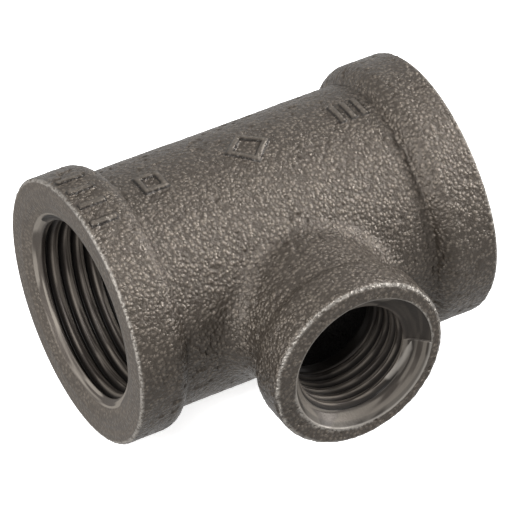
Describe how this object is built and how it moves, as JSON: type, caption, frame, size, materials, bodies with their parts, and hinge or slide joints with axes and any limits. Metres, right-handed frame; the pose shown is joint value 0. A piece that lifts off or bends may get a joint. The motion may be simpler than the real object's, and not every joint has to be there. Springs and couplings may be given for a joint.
{
  "type": "pipe tee fitting",
  "caption": "Reducing pipe tee in black malleable iron, banded ends, taper-threaded straight run and smaller side outlet.",
  "frame": {"origin": "where the run axis crosses the outlet axis", "axes": "+X along the run, -Y out of the smaller outlet, +Z square to both"},
  "size_m": [0.064, 0.057, 0.0452],
  "materials": {
    "cast_iron_skin": "as-cast black iron, sand grained, with bare machined ends and threads"
  },
  "bodies": {
    "root": {"tee_body": "cast_iron_skin"}
  },
  "joints": []
}
